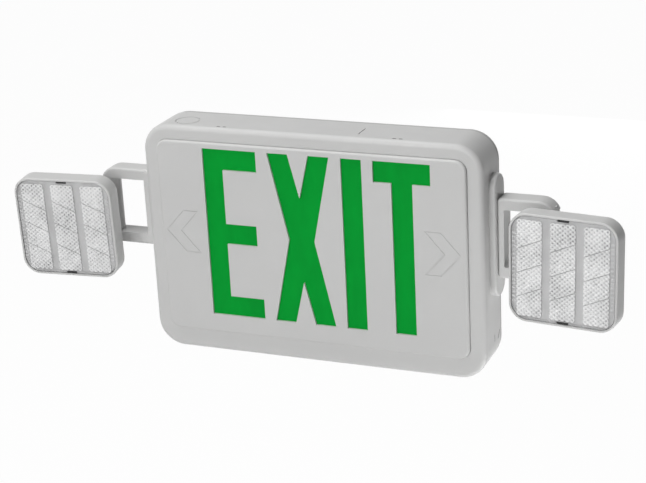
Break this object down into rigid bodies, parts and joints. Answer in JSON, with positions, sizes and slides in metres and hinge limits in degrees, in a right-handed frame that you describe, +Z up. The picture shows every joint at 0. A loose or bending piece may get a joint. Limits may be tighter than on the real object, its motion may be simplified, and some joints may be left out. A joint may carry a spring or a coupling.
{
  "type": "emergency exit light",
  "caption": "Wall-mounted emergency exit light: a lit legend box with square lamp heads that swivel and tilt on side arms, battery backup and a press-to-test button.",
  "frame": {"origin": "centre of the back plate's wall face, in the middle of the wire entry and the junction box screw holes", "axes": "+Z up, -Y the way the legend faces, +X to the right of someone reading the legend; the wall is the plane Y = 0"},
  "size_m": [0.5625, 0.0793, 0.2156],
  "materials": {
    "housing_plastic": "fine satin moulding",
    "back_plastic": "satin",
    "legend_green": "translucent",
    "reflector_white": "gloss",
    "circuit_board": "satin",
    "white_board": "satin",
    "lamp_chip": "gloss",
    "transformer_steel": "varnished",
    "battery_sleeve": "shrink sleeve",
    "strap_steel": "plated",
    "screw_steel": "plated",
    "terminal_plastic": "matte",
    "button_plastic": "satin",
    "status_lens": "clear red",
    "switch_plastic": "matte",
    "lens_clear": "prismatic clear"
  },
  "bodies": {
    "housing": {"back_plate": "back_plastic", "housing": "housing_plastic", "face_plate": "housing_plastic", "legend_diffuser": "legend_green", "light_box": "reflector_white", "lamp_strip_upper": "white_board", "lamp_strip_lower": "white_board", "sign_lamps": "lamp_chip", "charger_board": "circuit_board", "transformer": "transformer_steel", "battery_pack": "battery_sleeve", "battery_strap": "strap_steel", "terminal_block": "terminal_plastic", "button_spring": "screw_steel", "test_switch": "switch_plastic", "status_lamp": "status_lens", "arm_base_left": "housing_plastic", "arm_left": "housing_plastic", "arm_screws_left": "screw_steel", "arm_base_right": "housing_plastic", "arm_right": "housing_plastic", "arm_screws_right": "screw_steel"},
    "button": {"test_button": "button_plastic"},
    "left_swivel": {"swivel_left": "housing_plastic", "swivel_clamp_left": "housing_plastic", "clamp_screws_left": "screw_steel"},
    "left_head": {"head_shell_left": "housing_plastic", "tilt_pin_left": "screw_steel", "head_board_left": "white_board", "head_lamps_left": "lamp_chip", "head_reflector_left": "reflector_white", "head_lens_left": "lens_clear"},
    "right_swivel": {"swivel_right": "housing_plastic", "swivel_clamp_right": "housing_plastic", "clamp_screws_right": "screw_steel"},
    "right_head": {"head_shell_right": "housing_plastic", "tilt_pin_right": "screw_steel", "head_board_right": "white_board", "head_lamps_right": "lamp_chip", "head_reflector_right": "reflector_white", "head_lens_right": "lens_clear"}
  },
  "joints": [
    {"name": "left_head_pan", "type": "hinge", "parent": "housing", "child": "left_swivel", "pos_m": [-0.2084, -0.02205, 0.0199], "axis": [0, 0, 1], "range_deg": [-35.5, 14.5]},
    {"name": "left_head_tilt", "type": "hinge", "parent": "left_swivel", "child": "left_head", "pos_m": [-0.23548, -0.0444, 0.01], "axis": [0.9954, 0.0958, 0], "range_deg": [-20, 24]},
    {"name": "right_head_pan", "type": "hinge", "parent": "housing", "child": "right_swivel", "pos_m": [0.2084, -0.02205, 0.0199], "axis": [0, 0, 1], "range_deg": [-13.5, 36.5]},
    {"name": "right_head_tilt", "type": "hinge", "parent": "right_swivel", "child": "right_head", "pos_m": [0.23509, -0.04487, 0.01], "axis": [0.9936, -0.1132, 0], "range_deg": [-15.5, 28.5]},
    {"name": "test_press", "type": "slide", "parent": "housing", "child": "button", "axis": [0, 0, 1], "range_m": [0, 0.0015], "stiffness_N_per_m": 500, "springref_m": -0.002, "deforming": ["button_spring"]}
  ]
}
